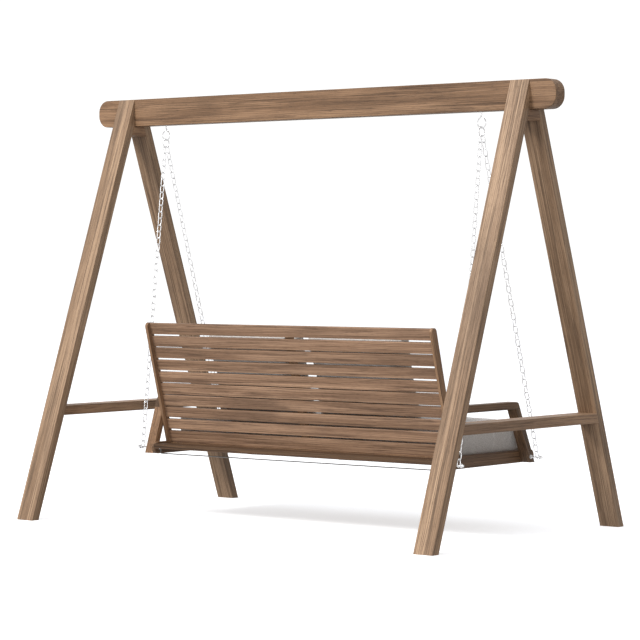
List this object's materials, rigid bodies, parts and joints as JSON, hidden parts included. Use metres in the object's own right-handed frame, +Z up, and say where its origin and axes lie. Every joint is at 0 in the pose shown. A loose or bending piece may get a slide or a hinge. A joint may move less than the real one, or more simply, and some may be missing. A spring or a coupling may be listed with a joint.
{
  "type": "porch swing",
  "caption": "Free-standing timber porch swing: a slatted bench with loose cushions hangs on steel chains from an A-frame stand and swings fore, aft and sideways.",
  "frame": {"origin": "on the floor, under the middle of the top beam", "axes": "+X along the beam towards the bench's left end for a person sitting in it, +Y towards the backrest, +Z up; the bench faces -Y"},
  "size_m": [2.675, 1.498, 2],
  "materials": {
    "wood": "oiled, satin",
    "steel": "polished stainless",
    "fabric": "woven, matt"
  },
  "bodies": {
    "stand": {"beam": "wood", "leg_left_rear": "wood", "leg_left_front": "wood", "leg_right_rear": "wood", "leg_right_front": "wood", "head_block_left": "wood", "head_block_right": "wood", "stretcher_left": "wood", "stretcher_right": "wood", "frame_dowels": "wood", "block_screws": "steel", "hook_left": "steel", "hook_right": "steel"},
    "left_ring": {"ring_left": "steel"},
    "left_chains": {"chain_left_rear": "steel", "chain_left_front": "steel"},
    "bench": {"armrest_left": "wood", "armrest_right": "wood", "front_post_left": "wood", "front_post_right": "wood", "rear_post_left": "wood", "rear_post_right": "wood", "side_rail_left": "wood", "side_rail_right": "wood", "front_rail": "wood", "rear_board": "wood", "seat_slat_1": "wood", "seat_slat_2": "wood", "seat_slat_3": "wood", "seat_slat_4": "wood", "seat_slat_5": "wood", "seat_slat_6": "wood", "bearer_left": "wood", "bearer_right": "wood", "back_stile_left": "wood", "back_stile_right": "wood", "back_slat_1": "wood", "back_slat_2": "wood", "back_slat_3": "wood", "back_slat_4": "wood", "back_slat_5": "wood", "back_slat_6": "wood", "back_slat_7": "wood", "back_slat_8": "wood", "back_slat_9": "wood", "back_slat_10": "wood", "back_batten": "wood", "slat_dowels": "wood", "joint_dowels": "wood", "hanger_bolts": "steel", "hanger_nuts": "steel", "hanger_caps": "steel", "tie_rod": "steel", "slat_screws": "steel", "seat_cushion": "fabric", "back_cushion_left": "fabric", "back_cushion_right": "fabric"},
    "right_ring": {"ring_right": "steel"},
    "right_chains": {"chain_right_rear": "steel", "chain_right_front": "steel"}
  },
  "joints": [
    {"name": "swing", "type": "hinge", "parent": "stand", "child": "left_ring", "pos_m": [0.927, 0, 1.798], "axis": [1, 0, 0], "range_deg": [-30, 30]},
    {"name": "swing_right", "type": "hinge", "parent": "stand", "child": "right_ring", "pos_m": [-0.927, 0, 1.798], "axis": [1, 0, 0], "range_deg": [-30, 30]},
    {"name": "sway_left", "type": "hinge", "parent": "left_ring", "child": "left_chains", "pos_m": [0.927, 0, 1.76362], "axis": [0, 1, 0], "range_deg": [-5, 5]},
    {"name": "bench_level", "type": "hinge", "parent": "left_chains", "child": "bench", "pos_m": [0.927, 0, 0.322], "axis": [0, 1, 0], "range_deg": [-5, 5]},
    {"name": "sway_right", "type": "hinge", "parent": "right_ring", "child": "right_chains", "pos_m": [-0.927, 0, 1.76362], "axis": [0, 1, 0], "range_deg": [-5, 5]}
  ],
  "couplings": [
    {"joint": "swing_right", "follows": "swing", "ratio": 1},
    {"joint": "sway_left", "follows": "bench_level", "ratio": -1},
    {"joint": "sway_right", "follows": "bench_level", "ratio": -1}
  ]
}
